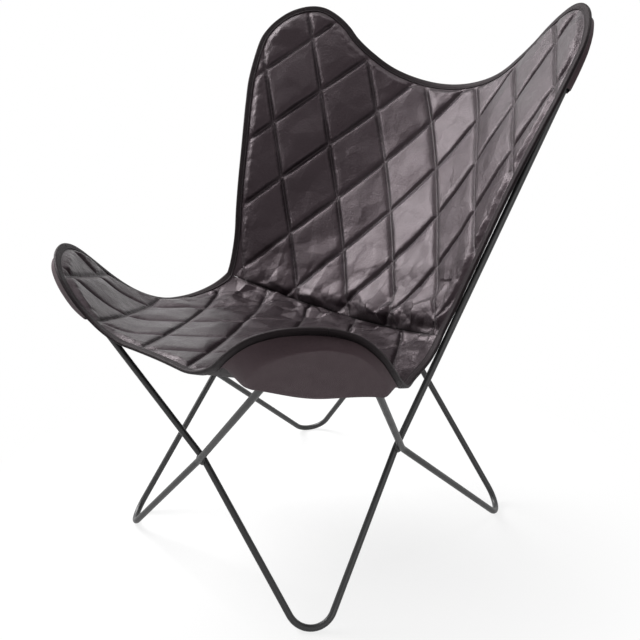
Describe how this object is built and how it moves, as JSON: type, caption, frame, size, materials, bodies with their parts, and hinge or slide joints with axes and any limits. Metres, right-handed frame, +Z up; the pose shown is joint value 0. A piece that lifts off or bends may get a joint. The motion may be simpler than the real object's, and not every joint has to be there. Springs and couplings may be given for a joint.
{
  "type": "butterfly sling chair",
  "caption": "Low lounge chair: two crossed bent-rod loops carry a diamond-quilted leather sling hung by pockets on their upper ends.",
  "frame": {"origin": "on the floor under the middle of the chair's bounding box", "axes": "+Z up from the floor, +X to the sitter's left, the sitter faces -Y"},
  "size_m": [0.7122, 0.7482, 0.916],
  "materials": {
    "rod_black": "satin black",
    "weld_black": "satin black over the weld bead",
    "quilted_leather": "soft semi-gloss leather, worn at the puffs",
    "binding_leather": "smooth satin leather",
    "pocket_leather": "plain matte leather",
    "backing_cloth": "matte woven cloth"
  },
  "bodies": {
    "root": {"right_arm_bow": "rod_black", "left_arm_bow": "rod_black", "right_back_bow": "rod_black", "left_back_bow": "rod_black", "front_left_leg_bow": "rod_black", "front_right_leg_bow": "rod_black", "rear_left_leg_bow": "rod_black", "rear_right_leg_bow": "rod_black", "front_crossing_weld": "weld_black", "rear_crossing_weld": "weld_black", "left_crossing_weld": "weld_black", "right_crossing_weld": "weld_black", "quilted_back_panel": "quilted_leather", "quilted_seat_panel": "quilted_leather", "back_lining": "backing_cloth", "seat_lining": "backing_cloth", "waist_seam_tape": "backing_cloth", "top_edge_binding": "binding_leather", "front_edge_binding": "binding_leather", "left_edge_binding": "binding_leather", "right_edge_binding": "binding_leather", "left_arm_pocket": "pocket_leather", "right_arm_pocket": "pocket_leather", "left_back_pocket": "pocket_leather", "right_back_pocket": "pocket_leather"}
  },
  "joints": []
}
